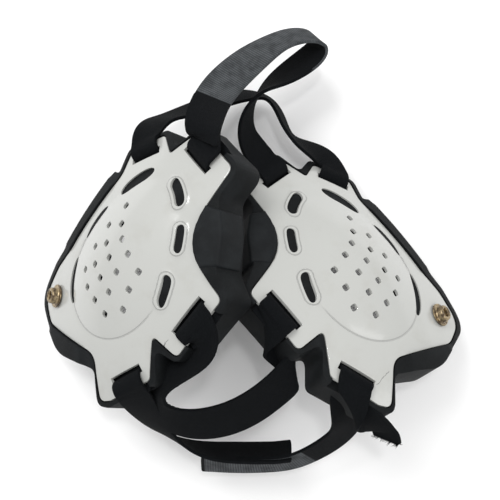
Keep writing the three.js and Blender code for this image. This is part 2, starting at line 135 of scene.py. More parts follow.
def start_material(name):
    """A material without nodes, the wire that adds them, and the place on the object to begin from."""
    material = bpy.data.materials.new(name)
    material.use_nodes = True
    material.node_tree.nodes.clear()
    wire = Wire(material.node_tree)
    return material, wire, wire.node("ShaderNodeTexCoord", {}, {}, output=3)


def end_material(wire, values, height, depth):
    """The surface that the wires lead to, with a fine relief of the given depth."""
    bump = wire.node("ShaderNodeBump", {}, {"Height": height, "Distance": depth})
    surface = wire.node("ShaderNodeBsdfPrincipled", {}, {**values, "Normal": bump})
    wire.node("ShaderNodeOutputMaterial", {}, {"Surface": surface})


# The table is plain and almost white.
table_white = (0.97, 0.97, 0.97, 1)
paint, wire, place = start_material("table_paint")
grain = place.cloud(40)
end_material(wire, {"Base Color": table_white, "Roughness": 0.8}, grain, 0.02 * mm)
sheet = bmesh.new()
bmesh.ops.create_grid(sheet, x_segments=1, y_segments=1, size=table_half)
table_data = bpy.data.meshes.new("table")
sheet.to_mesh(table_data)
sheet.free()
table_data.materials.append(paint)
table = bpy.data.objects.new("table", table_data)
bpy.context.collection.objects.link(table)

# Studio lights
# One broad soft light stands above the top left and a weaker one at the right. A small one gives the
# bright spots on the shells. Places are in metres.
lights = [
    {"name": "key", "x": -0.35, "y": 0.55, "z": 0.9, "size": 0.45, "power": 5.5},
    {"name": "fill", "x": 0.8, "y": -0.2, "z": 0.8, "size": 0.6, "power": 2},
    {"name": "spark", "x": 0.05, "y": 0.2, "z": 1.0, "size": 0.07, "power": 1.2},
]
for row in lights:
    light_data = bpy.data.lights.new(row["name"], "AREA")
    light_data.shape = "SQUARE"
    light_data.size = row["size"]
    light_data.energy = row["power"]
    light = bpy.data.objects.new(row["name"], light_data)
    light.location = (row["x"], row["y"], row["z"])
    light.rotation_euler = light.location.to_track_quat("Z", "Y").to_euler()
    bpy.context.collection.objects.link(light)
room_glow = 0.8
world = bpy.data.worlds.new("studio")
world.use_nodes = True
world.node_tree.nodes["Background"].inputs["Color"].default_value = (1, 1, 1, 1)
world.node_tree.nodes["Background"].inputs["Strength"].default_value = room_glow
bpy.context.scene.world = world

# Hard shells
# Each is one glossy white moulding over an ear, with a raised dome, nineteen air holes, six vents and
# four slots that the straps turn through. It is cut flat, its edges are rounded, and it is bent to
# its curve. A cup is measured in millimetres: p towards the back of the head, q up, h outwards.
shell_wall = 2
dome_half_width = 34.5
dome_half_height = 46.5
dome_taper = 0.11
dome_rise = 5.5
dome_shoulder = 1.15
bend_radius_across = 136
bend_radius_along = 260
slot_opening = 4.5
slot_side_gap = 1
edge_rounding = 0.6
hole_side = 3.5
hole_rounding = 1.1
most_rounding = 0.49
shortest_edge = 0.02
sharp_turn = 0.9
flat_enough = 1e-3
shell_step = 1.2
notch_p = 0.8 * dome_half_width
notch_q = 0.635 * dome_half_height
stud_p = -33.7
stud_q = -50.3
shank_hole = 3
shank_segments = 24
crown_width = 20
rear_width = 22
nape_width = 20
front_width = 18

cups = {
    "left": {"x": -71.5, "y": -2.3, "z": 71, "heading": -33.5, "pitch": 14, "lean": -36.5, "mirror": 1},
    "right": {"x": 60.5, "y": -3.8, "z": 56, "heading": 36.5, "pitch": -8.5, "lean": 38, "mirror": -1},
}
slots = {
    "crown": {"p": 1.7, "q": 65.2, "out": 84.5, "strap": crown_width, "bar": 8, "before": 1.5, "after": 8.5},
    "rear": {"p": 52.1, "q": 0.8, "out": -4, "strap": rear_width, "bar": 5.7, "before": 6, "after": 8.5},
    "nape": {"p": 39, "q": -48.1, "out": -29, "strap": nape_width, "bar": 5.5, "before": 1.5, "after": 7},
    "front": {
        "p": -31.3, "q": 47.4, "out": 141.8, "strap": front_width, "bar": 5.5, "before": 1.5, "after": 3,
    },
}
shell_corners = [
    {"p": -15.5, "q": 57.3, "radius": 2},
    {"slot": "crown", "side": "before", "radius": 2},
    {"slot": "crown", "side": "after", "radius": 5},
    {"p": notch_p, "q": notch_q, "radius": 36},
    {"slot": "rear", "side": "before", "radius": 4},
    {"slot": "rear", "side": "after", "radius": 3},
    {"p": 41.3, "q": -19.5, "radius": 2.5},
    {"slot": "nape", "side": "before", "radius": 3.5},
    {"slot": "nape", "side": "after", "radius": 3},
    {"p": 31, "q": -72.5, "radius": 3.5},
    {"p": 15.5, "q": -53, "radius": 9},
    {"p": -30, "q": -66.5, "radius": 14},
    {"p": -49, "q": -61, "radius": 11},
    {"p": -48, "q": -40, "radius": 9},
    {"p": -43, "q": -24, "radius": 12},
    {"p": -37.5, "q": 30, "radius": 14},
    {"slot": "front", "side": "before", "radius": 3},
    {"slot": "front", "side": "after", "radius": 3},
]
vents = [
    {"from": 64, "to": 92, "share_from": 1, "share_to": 1.05, "width": 6.2, "blunt": 6, "collar": 0.6},
    {"from": 29, "to": 49, "share_from": 1, "share_to": 1, "width": 4.8, "blunt": 6, "collar": 0.6},
    {"from": -6, "to": 14, "share_from": 1.06, "share_to": 0.98, "width": 5.6, "blunt": 6, "collar": 0.6},
    {"from": 119, "to": 150, "share_from": 1.12, "share_to": 0.99, "width": 7, "blunt": 3, "collar": 0},
    {"from": 164, "to": 193, "share_from": 0.97, "share_to": 0.96, "width": 3.8, "blunt": 4, "collar": 0},
    {"from": 208, "to": 245, "share_from": 0.99, "share_to": 1.02, "width": 4.8, "blunt": 2.4, "collar": 0},
]
vent_segments = 14
hole_column_bow = 0.8
hole_columns = [
    {"p": -15, "lean": -2.6, "q": 22.4, "pitch": 14.2, "count": 4},
    {"p": -8, "lean": -2.1, "q": 14.6, "pitch": 13.5, "count": 4},
    {"p": -0.8, "lean": -1.3, "q": 9.5, "pitch": 12.3, "count": 4},
    {"p": 8, "lean": -0.9, "q": 6.1, "pitch": 11.7, "count": 4},
    {"p": 18.6, "lean": -0.2, "q": 2.7, "pitch": 11, "count": 3},
]


def add_piece(name, bm, materials, replaced=None):
    """Makes an object of a mesh, with its materials, and ties it to the frame."""
    data = bpy.data.meshes.new(name)
    bm.to_mesh(data)
    bm.free()
    piece = bpy.data.objects.new(name, data)
    bpy.context.collection.objects.link(piece)
    for material in materials:
        data.materials.append(material)
    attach(piece, "root")
    if replaced:
        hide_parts(replaced)
    return piece


def cup_matrix(cup):
    """From a cup's own millimetres to the place where it lies."""
    turn = (
        Matrix.Rotation(radians(cup["heading"]), 4, "Z")
        @ Matrix.Rotation(radians(cup["pitch"]), 4, "X")
        @ Matrix.Rotation(radians(cup["lean"]), 4, "Y")
    )
    place = Matrix.Translation(base + Vector((cup["x"], cup["y"], cup["z"])) * mm)
    return place @ turn @ Matrix.Diagonal((cup["mirror"] * mm, mm, mm, 1))


def dome_share(p, q):
    """One on the foot of the dome, and less inside it."""
    half_width = dome_half_width * (1 - dome_taper * q / dome_half_height)
    return hypot(p / half_width, q / dome_half_height)


def surface(p, q):
    """The height of a shell's outer face, without its collars."""
    bend = p * p / (2 * bend_radius_across) + q * q / (2 * bend_radius_along)
    inside = max(0, 1 - dome_share(p, q) ** 2)
    return dome_rise * inside**dome_shoulder - dome_rise - bend


def slot_frame(slot):
    """A slot's centre, the way out of it, the way along it, and the way off the shell."""
    normal = Vector((slot["p"] / bend_radius_across, slot["q"] / bend_radius_along, 1)).normalized()
    out = Vector((cos(radians(slot["out"])), sin(radians(slot["out"])), 0))
    out = (out - normal * out.dot(normal)).normalized()
    centre = Vector((slot["p"], slot["q"], surface(slot["p"], slot["q"]))) - normal * shell_wall / 2
    return centre, out, out.cross(normal), normal


def corner_point(corner):
    if "slot" not in corner:
        return Vector((corner["p"], corner["q"]))
    slot = slots[corner["slot"]]
    centre, out, along, normal = slot_frame(slot)
    side = -1 if corner["side"] == "before" else 1
    rim = corner.get("rim", 0)
    sideways = side * (slot["strap"] / 2 + slot_side_gap + slot[corner["side"]] + rim)
    point = centre + along * sideways + out * (slot_opening / 2 + slot["bar"] + rim)
    return point.xy


def rounded(corners, steps=7):
    """The outline through the corners, each one drawn as a curve."""
    points = [corner_point(corner) for corner in corners]
    line = []
    for i, point in enumerate(points):
        to_last = points[i - 1] - point
        to_next = points[(i + 1) % len(points)] - point
        setback = corners[i]["radius"] / tan(to_last.angle(to_next) / 2)
        start = point + to_last.normalized() * min(setback, to_last.length * most_rounding)
        end = point + to_next.normalized() * min(setback, to_next.length * most_rounding)
        for step in range(steps + 1):
            t = step / steps
            line.append(start * (1 - t) ** 2 + point * 2 * t * (1 - t) + end * t * t)
    return [point for i, point in enumerate(line) if (point - line[i - 1]).length > shortest_edge]


def moved_out(line, distance):
    """The outline, moved outwards by a distance."""
    moved = []
    for i, point in enumerate(line):
        before = (point - line[i - 1]).normalized()
        after = (line[(i + 1) % len(line)] - point).normalized()
        ahead = (before + after).normalized()
        moved.append(point + Vector((-ahead.y, ahead.x)) * distance)
    return moved


def vent_middle(vent, t):
    """A point on the middle line of a vent, and the way across it."""
    angle = radians(vent["from"] + (vent["to"] - vent["from"]) * t)
    share = vent["share_from"] + (vent["share_to"] - vent["share_from"]) * t
    q = share * dome_half_height * sin(angle)
    p = share * dome_half_width * (1 - dome_taper * q / dome_half_height) * cos(angle)
    across = Vector((cos(angle) / dome_half_width, sin(angle) / dome_half_height)).normalized()
    return Vector((p, q)), across


def vent_line(vent, spread=0.0):
    sides = [[], []]
    for i in range(vent_segments + 1):
        t = (1 - cos(pi * i / vent_segments)) / 2
        middle, across = vent_middle(vent, t)
        half = (vent["width"] / 2 + spread) * sqrt(max(0, 1 - abs(2 * t - 1) ** vent["blunt"]))
        sides[0].append(middle + across * half)
        if half > 0:
            sides[1].append(middle - across * half)
    return sides[0] + sides[1][::-1]


def slot_line(slot):
    centre, out, along, normal = slot_frame(slot)
    half = slot["strap"] / 2 + slot_side_gap
    corners = [(-1, -1), (1, -1), (1, 1), (-1, 1)]
    return [(centre + along * a * half + out * b * slot_opening / 2).xy for a, b in corners]


def hole_lines():
    half = hole_side / 2
    for column in hole_columns:
        for row in range(column["count"]):
            p = column["p"] + column["lean"] * row + hole_column_bow * row * row
            q = column["q"] - column["pitch"] * row
            corners = [(-half, -half), (half, -half), (half, half), (-half, half)]
            rows = [{"p": p + dp, "q": q + dq, "radius": hole_rounding} for dp, dq in corners]
            yield rounded(rows, 3)


def add_prism(bm, line, low, high):
    """A block with the outline as its base."""
    face = bm.faces.new([bm.verts.new((point.x, point.y, low)) for point in line])
    grown = bmesh.ops.extrude_face_region(bm, geom=[face])["geom"]
    tops = [part for part in grown if isinstance(part, bmesh.types.BMVert)]
    bmesh.ops.translate(bm, verts=tops, vec=(0, 0, high - low))


def cut_flat(body, cutter):
    """Takes the cutter out of the body."""
    bmesh.ops.recalc_face_normals(body, faces=body.faces)
    bmesh.ops.recalc_face_normals(cutter, faces=cutter.faces)
    pair = []
    for name, bm in (("blank", body), ("cutter", cutter)):
        data = bpy.data.meshes.new(name)
        bm.to_mesh(data)
        bm.free()
        pair.append(bpy.data.objects.new(name, data))
        bpy.context.collection.objects.link(pair[-1])
    cut = pair[0].modifiers.new("cut", "BOOLEAN")
    cut.operation = "DIFFERENCE"
    cut.solver = "EXACT"
    cut.object = pair[1]
    done = bmesh.new()
    done.from_object(pair[0], bpy.context.evaluated_depsgraph_get())
    for part in pair:
        bpy.data.objects.remove(part)
    return done


def round_edges(bm, radius, segments, wanted):
    corners = [edge for edge in bm.edges if edge.is_manifold and edge.calc_face_angle(0) > sharp_turn]
    edges = [edge for edge in corners if wanted(edge)]
    bmesh.ops.bevel(
        bm, geom=edges, affect="EDGES", offset=radius, offset_type="OFFSET", segments=segments,
        profile=0.5, clamp_overlap=True, material=-1,
    )


def slice_grid(bm, step):
    """Cuts long faces into small ones, so that the sheet can be bent."""
    for axis in range(2):
        normal = Vector((1, 0, 0)) if axis == 0 else Vector((0, 1, 0))
        spots = [vert.co[axis] for vert in bm.verts]
        cut = min(spots) + step / 2
        while cut < max(spots):
            everything = bm.verts[:] + bm.edges[:] + bm.faces[:]
            bmesh.ops.bisect_plane(bm, geom=everything, dist=1e-4, plane_co=normal * cut, plane_no=normal)
            cut += step


map_span = 200


def map_plan(bm):
    """Keeps the flat place of every point, for the lines that are drawn on the shell."""
    layer = bm.loops.layers.uv.new("map")
    for face in bm.faces:
        for loop in face.loops:
            loop[layer].uv = (0.5 + loop.vert.co.x / map_span, 0.5 + loop.vert.co.y / map_span)


def smooth_share(value, low, high):
    t = min(1, max(0, (value - low) / (high - low)))
    return t * t * (3 - 2 * t)


def distance_to_line(point, line):
    nearest = 1e9
    for i, start in enumerate(line):
        side = line[(i + 1) % len(line)] - start
        t = min(1, max(0, (point - start).dot(side) / side.length_squared))
        nearest = min(nearest, (start + side * t - point).length)
    return nearest


collar_width = 1.5
collar_slope = 0.9
collar_reach = 18
groove_depth = 0.35
groove_half_share = 0.018
groove_top = 4
groove_full = -12


def shell_relief(p, q):
    point = Vector((p, q))
    height = 0
    for vent in vents:
        if vent["collar"]:
            line = vent_line(vent)
            middle = sum(line, Vector((0, 0))) / len(line)
            if (middle - point).length < collar_reach:
                gap = distance_to_line(point, line)
                outside = smooth_share(gap, collar_width, collar_width + collar_slope)
                height = max(height, vent["collar"] * (1 - outside))
    groove = (dome_share(p, q) - 1) / groove_half_share
    lower = smooth_share(-q, -groove_top, -groove_full)
    return height - groove_depth * lower / (1 + groove**4)


shell_outline = rounded(shell_corners)
blank = bmesh.new()
add_prism(blank, shell_outline, -shell_wall, 0)
cutter = bmesh.new()
openings = [vent_line(vent) for vent in vents]
openings += [slot_line(slot) for slot in slots.values()]
openings += list(hole_lines())
for line in openings:
    add_prism(cutter, line, -3 * shell_wall, 3 * shell_wall)
bmesh.ops.create_cone(
    cutter, cap_ends=True, segments=shank_segments, radius1=shank_hole, radius2=shank_hole,
    depth=6 * shell_wall, matrix=Matrix.Translation((stud_p, stud_q, 0)),
)
flat_shell = cut_flat(blank, cutter)
round_edges(flat_shell, edge_rounding, 3, lambda edge: all(abs(v.co.z) < flat_enough for v in edge.verts))
slice_grid(flat_shell, shell_step)
map_plan(flat_shell)
for vert in flat_shell.verts:
    p, q, h = vert.co
    relief = shell_relief(p, q) if h > -shell_wall / 2 else 0
    vert.co.z = surface(p, q) + h + relief

# The plastic is a warm white with a high gloss, faint smears and a few hairline cracks. A fine groove with
# painted shade runs round each raised collar and round the lower half of the dome. Cracks are in millimetres.
plastic_white = (0.45, 0.455, 0.435, 1)
plastic_aged = (0.38, 0.375, 0.345, 1)
# The dark grey of the real cracks, also used for the painted shade in the grooves.
crack_and_shade_grey = (0.05, 0.05, 0.05, 1)
crack_half_width = 0.28 * mm
crack_wander = 2.4 * mm
crack_taper = 0.5 * mm
crack_core = 0.08 * mm
cracks = [
    {"start": (-42, -44), "end": (-46.5, -50)},
    {"start": (-44, -45.5), "end": (-44, -50.5)},
    {"start": (65.5, -69), "end": (72.5, -62.5)},
]
line_half_width = 0.4 * mm
line_core = 0.1 * mm
ring_half_share = 0.014
ring_core_share = 0.003
ring_top = -6 * mm
ring_full = -16 * mm
plastic, wire, place = start_material("shell_plastic")
smears = place.cloud(55, 4, 0.6)
specks = place.cloud(900, 2)
colour = (smears.fade(0.5, 0.75) * 0.35).tint(plastic_white, plastic_aged)
x, y, z = place.parts()
wander = (place.cloud(500, 2) - 0.5) * crack_wander
for crack in cracks:
    start = Vector(crack["start"]) * mm
    run = Vector(crack["end"]) * mm - start
    ahead = run.normalized()
    along = (x - start.x) * ahead.x + (y - start.y) * ahead.y
    off = abs((x - start.x) * ahead.y - (y - start.y) * ahead.x + wander)
    begun = along.fade(-crack_taper, crack_taper)
    unfinished = along.fade(run.length + crack_taper, run.length - crack_taper)
    mark = begun * unfinished * off.fade(crack_half_width, crack_core)
    colour = (mark * 0.8).tint(colour, crack_and_shade_grey)
u, v, w = wire.node("ShaderNodeUVMap", {"uv_map": "map"}).parts()
p_flat = (u - 0.5) * (map_span * mm)
q_flat = (v - 0.5) * (map_span * mm)
taper = 1 - q_flat * (dome_taper / (dome_half_height * mm))
across_dome = p_flat / (taper * (dome_half_width * mm))
along_dome = q_flat / (dome_half_height * mm)
ring = (across_dome * across_dome + along_dome * along_dome).root()
lower = q_flat.fade(ring_top, ring_full)
groove_shade_lines = abs(ring - 1).fade(ring_half_share, ring_core_share) * lower * 0.9
for vent in vents:
    if vent["collar"]:
        low, middle, high = [vent_middle(vent, t)[0] * mm for t in (0, 0.5, 1)]
        ahead = (high - low).normalized()
        half = vent["width"] / 2 * mm
        bow = (middle - (low + high) / 2).dot(Vector((ahead.y, -ahead.x)))
        reach = (high - low).length
        along = (p_flat - low.x) * ahead.x + (q_flat - low.y) * ahead.y
        beyond = (along - (reach - half)).most(half - along).most(0.0)
        middling = along * (2 / reach) - 1
        aside = (p_flat - low.x) * ahead.y - (q_flat - low.y) * ahead.x - (1 - middling * middling) * bow
        gap = (beyond * beyond + aside * aside).root() - half
        groove_shade_lines = groove_shade_lines + abs(gap - collar_width * mm).fade(line_half_width, line_core)
# Painted shade: the grooves round the lower half of the dome and round each collar are darkened in the
# colour, and also sunk in the relief.
colour = (groove_shade_lines * 0.25).tint(colour, crack_and_shade_grey)
end_material(
    wire,
    {
        "Base Color": colour,
        "Roughness": 0.13 + smears * 0.12,
        "Coat Weight": 0.4,
        "Coat Roughness": 0.06,
        "IOR": 1.5,
    },
    specks * 0.02 + smears * 0.1 - groove_shade_lines, 0.3 * mm,
)
for side, cup in cups.items():
    shell = flat_shell.copy()
    bmesh.ops.transform(shell, matrix=cup_matrix(cup), verts=shell.verts)
    if cup["mirror"] < 0:
        bmesh.ops.reverse_faces(shell, faces=shell.faces)
    for face in shell.faces:
        face.smooth = True
    piece = add_piece(f"shell_cover_{side}", shell, [plastic], f"shell_{side}")
    piece.data.set_sharp_from_angle(angle=radians(40))
flat_shell.free()

# Foam pads
# Each is one charcoal moulding of firm closed-cell foam under its shell, a little wider than the shell,
# with an open ear hollow. It bulges at the shell's edge, shows in the vents, and leaves room for the
# straps.
foam_thickness = 18
foam_lip = 0.6
hollow_half_width = 27
hollow_half_height = 37
hollow_centre_q = -1
hollow_segments = 64
hollow_cut_depth = 100
fit_gap = 0.35
foam_rounding = 2.2
seat_rounding = 0.5
plug_depth = 0.9
plug_gap = 0.25
plug_root = 1
seat_margin = 0.7
seat_clearance = 0.5
strap_room_depth = 3.4
strap_room_reach = 34
cutter_height = 30
foam_step = 2
level_margin = 0.01
foam_corners = [
    {"p": -14.5, "q": 62, "radius": 4},
    {"slot": "crown", "side": "before", "rim": 2.8, "radius": 4},
    {"slot": "crown", "side": "after", "rim": 3.5, "radius": 9},
    {"p": 27.5, "q": 58, "radius": 8},
    {"p": 39, "q": 46.5, "radius": 22},
    {"p": 51, "q": 29, "radius": 7},
    {"slot": "rear", "side": "before", "rim": 3, "radius": 6},
    {"slot": "rear", "side": "after", "rim": 2.4, "radius": 5},
    {"p": 46, "q": -24.5, "radius": 4},
    {"slot": "nape", "side": "before", "rim": 3.2, "radius": 5},
    {"slot": "nape", "side": "after", "rim": 3.2, "radius": 5},
    {"p": 30.5, "q": -76, "radius": 5},
    {"p": 20, "q": -60, "radius": 4},
    {"p": -11, "q": -73.5, "radius": 26},
    {"p": -32, "q": -69, "radius": 6},
    {"p": -53.5, "q": -65, "radius": 13},
    {"p": -53.5, "q": -40, "radius": 9},
    {"p": -51.2, "q": -30.5, "radius": 1.5},
    {"p": -46.5, "q": 27.5, "radius": 1.5},
    {"p": -41, "q": 29.5, "radius": 2},
    {"slot": "front", "side": "before", "rim": 3, "radius": 5},
    {"slot": "front", "side": "after", "rim": 3, "radius": 5},
]
block_corners = [
    {"p": 17, "q": 47.8, "radius": 1.5},
    {"p": 34, "q": 53.8, "radius": 1.5},
    {"p": 43.5, "q": 44.5, "radius": 30},
    {"p": 51.2, "q": 31.5, "radius": 1.5},
    {"p": 36, "q": 18.4, "radius": 1.5},
    {"p": 18, "q": 22, "radius": 1.5},
]
block_rise = 2.4
block_rounding = 1.3
block_gap = 0.9
block_step = 0.9
diagonal_share = 0.7
block_creases = [3.5, 6.5]
crease_depth = 0.5
crease_width = 1.1
foam_top = foam_lip
foam_bottom = -shell_wall - foam_thickness
block_bottom = foam_bottom * 0.75
seat_floor = -shell_wall - fit_gap
bulge_slope = 4
bulges = [
    {"p": 36, "q": 26, "reach": 21, "rise": 1},
    {"p": -48, "q": -1, "reach": 27, "rise": 0.8},
    {"p": -8, "q": -70, "reach": 22, "rise": 1.2},
]


def foam_relief(p, q):
    point = Vector((p, q))
    height = 0
    for bulge in bulges:
        gap = (point - Vector((bulge["p"], bulge["q"]))).length
        height += bulge["rise"] * (1 - smooth_share(gap, bulge["reach"] - bulge_slope, bulge["reach"]))
    return height


def room_for_strap(slot):
    """The outline of the foam that is cut away, so that a strap can pass under the bar."""
    centre, out, along, normal = slot_frame(slot)
    half = slot["strap"] / 2 + slot_side_gap
    near = -slot_opening / 2
    corners = [(-half, near), (half, near), (half, strap_room_reach), (-half, strap_room_reach)]
    return [(centre + along * a + out * b).xy for a, b in corners]


strap_room_floor = -shell_wall / 2 - strap_room_depth
blank = bmesh.new()
add_prism(blank, rounded(foam_corners), foam_bottom, foam_top)
cutter = bmesh.new()
add_prism(cutter, moved_out(shell_outline, seat_margin), seat_floor, cutter_height)
flat_foam = cut_flat(blank, cutter)
for slot in slots.values():
    cutter = bmesh.new()
    add_prism(cutter, room_for_strap(slot), strap_room_floor, cutter_height)
    flat_foam = cut_flat(flat_foam, cutter)
cutter = bmesh.new()
oval = Matrix.Diagonal((hollow_half_width, hollow_half_height, 1, 1))
bmesh.ops.create_cone(
    cutter, cap_ends=True, segments=hollow_segments, radius1=1, radius2=1, depth=hollow_cut_depth,
    matrix=Matrix.Translation((0, hollow_centre_q, 0)) @ oval,
)
flat_foam = cut_flat(flat_foam, cutter)
above = foam_top - level_margin
round_edges(flat_foam, seat_rounding, 2, lambda edge: all(v.co.z > above for v in edge.verts))
under = foam_bottom + level_margin
round_edges(flat_foam, foam_rounding, 4, lambda edge: all(v.co.z < under for v in edge.verts))
slice_grid(flat_foam, foam_step)
for vent in vents:
    add_prism(flat_foam, vent_line(vent, -plug_gap), seat_floor - plug_root, -plug_depth)
map_plan(flat_foam)
for vert in flat_foam.verts:
    p, q, h = vert.co
    share = smooth_share(h, foam_bottom, foam_top)
    outside = h > seat_floor + seat_clearance
    vert.co.z = surface(p, q) + h + (foam_relief(p, q) * share if outside else 0)

# A raised block with squared ends and soft creases fills the notch at the back of each cup.
blank = bmesh.new()
add_prism(blank, rounded(block_corners), block_bottom, block_rise)
cutter = bmesh.new()
add_prism(cutter, moved_out(shell_outline, block_gap), foam_bottom, cutter_height)
block = cut_flat(blank, cutter)
above = block_rise - level_margin
round_edges(block, block_rounding, 3, lambda edge: all(v.co.z > above for v in edge.verts))
slice_grid(block, block_step)
map_plan(block)
for vert in block.verts:
    p, q, h = vert.co
    across_block = (p - notch_p + q - notch_q) * diagonal_share
    crease = sum(1 / (1 + ((across_block - spot) / crease_width) ** 4) for spot in block_creases)
    vert.co.z = surface(p, q) + h - crease_depth * crease * smooth_share(h, 0, block_rise)
for face in block.faces:
    face.material_index = 1
block_data = bpy.data.meshes.new("block")
block.to_mesh(block_data)
block.free()
flat_foam.from_mesh(block_data)

# The foam's skin is matt and dusty, and the raised blocks are a little greyer.
foam_dark = (0.004, 0.0048, 0.0053, 1)
foam_dusty = (0.015, 0.017, 0.0185, 1)
foam_skin, wire, place = start_material("foam_skin")
patches = place.cloud(70, 4, 0.6)
pores = place.cloud(1600, 3, 0.7)
dust = patches.fade(0.42, 0.7) * 0.5 + pores.fade(0.45, 0.75) * 0.3
end_material(
    wire,
    {
        "Base Color": dust.tint(foam_dark, foam_dusty),
        "Roughness": 0.5 + patches * 0.3,
        "Specular IOR Level": 0.13,
    },
    pores + patches * 2, 0.12 * mm,
)
block_dark = (0.005, 0.006, 0.007, 1)
block_dusty = (0.015, 0.0175, 0.019, 1)
block_skin, wire, place = start_material("block_skin")
patches = place.cloud(80, 4, 0.6)
pores = place.cloud(1600, 3, 0.7)
end_material(
    wire,
    {
        "Base Color": (patches.fade(0.35, 0.7) * 0.6).tint(block_dark, block_dusty),
        "Roughness": 0.45 + patches * 0.3,
        "Specular IOR Level": 0.15,
    },
    pores + patches * 2, 0.1 * mm,
)
for side, cup in cups.items():
    foam = flat_foam.copy()
    bmesh.ops.transform(foam, matrix=cup_matrix(cup), verts=foam.verts)
    bmesh.ops.recalc_face_normals(foam, faces=foam.faces)
    for face in foam.faces:
        face.smooth = True
    piece = add_piece(f"foam_{side}", foam, [foam_skin, block_skin], f"foam_pad_{side}")
    piece.data.set_sharp_from_angle(angle=radians(50))
flat_foam.free()

# Chin studs
# Each is a pressed snap of darkened bronze, riveted through the shell, with a broad thin flange, a
# rolled cap and a socket that a chin strap would snap on. Its profile is spun.
flange_radius = 6.7
flange_height = 1
cap_radius = 4.5
cap_height = 3.8
socket_radius = 2.4
socket_depth = 2
shank_radius = 2
stud_segments = 48
stud_profile = [
    (0, -shell_wall),
    (shank_radius, -shell_wall),
    (shank_radius, 0),
    (flange_radius - 0.3, 0),
    (flange_radius, 0.35),
    (flange_radius - 0.15, flange_height - 0.15),
    (flange_radius - 0.6, flange_height),
    (cap_radius + 0.7, flange_height - 0.25),
    (cap_radius + 0.2, flange_height),
    (cap_radius, flange_height + 0.7),
    (cap_radius, flange_height + cap_height - 0.9),
    (cap_radius - 0.3, flange_height + cap_height - 0.3),
    (cap_radius - 0.9, flange_height + cap_height),
    (socket_radius + 0.4, flange_height + cap_height - 0.1),
    (socket_radius, flange_height + cap_height - 0.5),
    (socket_radius, flange_height + cap_height - socket_depth),
    (socket_radius - 0.6, flange_height + cap_height - socket_depth - 0.2),
    (0, flange_height + cap_height - socket_depth - 0.2),
]
bronze_bright = (0.42, 0.33, 0.2, 1)
bronze_dark = (0.09, 0.065, 0.045, 1)
bronze, wire, place = start_material("stud_bronze")
tarnish = place.cloud(420, 4, 0.6)
scuffs = place.cloud(2500, 2)
end_material(
    wire,
    {
        "Base Color": tarnish.fade(0.35, 0.65).tint(bronze_bright, bronze_dark),
        "Roughness": 0.2 + tarnish * 0.3,
        "Metallic": 1.0,
    },
    scuffs + tarnish, 0.05 * mm,
)
for side, cup in cups.items():
    stud = bmesh.new()
    ring = [stud.verts.new((radius, 0, height)) for radius, height in stud_profile]
    edges = [stud.edges.new(pair) for pair in zip(ring, ring[1:])]
    bmesh.ops.spin(
        stud, geom=ring + edges, cent=(0, 0, 0), axis=(0, 0, 1), dvec=(0, 0, 0), angle=2 * pi,
        steps=stud_segments, use_merge=True,
    )
    bmesh.ops.remove_doubles(stud, verts=stud.verts, dist=1e-4)
    normal = Vector((stud_p / bend_radius_across, stud_q / bend_radius_along, 1)).normalized()
    lift = fit_gap + flange_radius**2 / bend_radius_across
    centre = Vector((stud_p, stud_q, surface(stud_p, stud_q))) + normal * lift
    seat = Matrix.Translation(centre) @ normal.to_track_quat("Z", "Y").to_matrix().to_4x4()
    bmesh.ops.transform(stud, matrix=cup_matrix(cup) @ seat, verts=stud.verts)
    bmesh.ops.recalc_face_normals(stud, faces=stud.faces)
    for face in stud.faces:
        face.smooth = True
    piece = add_piece(f"snap_{side}", stud, [bronze], f"chin_stud_{side}")
    piece.data.set_sharp_from_angle(angle=radians(50))

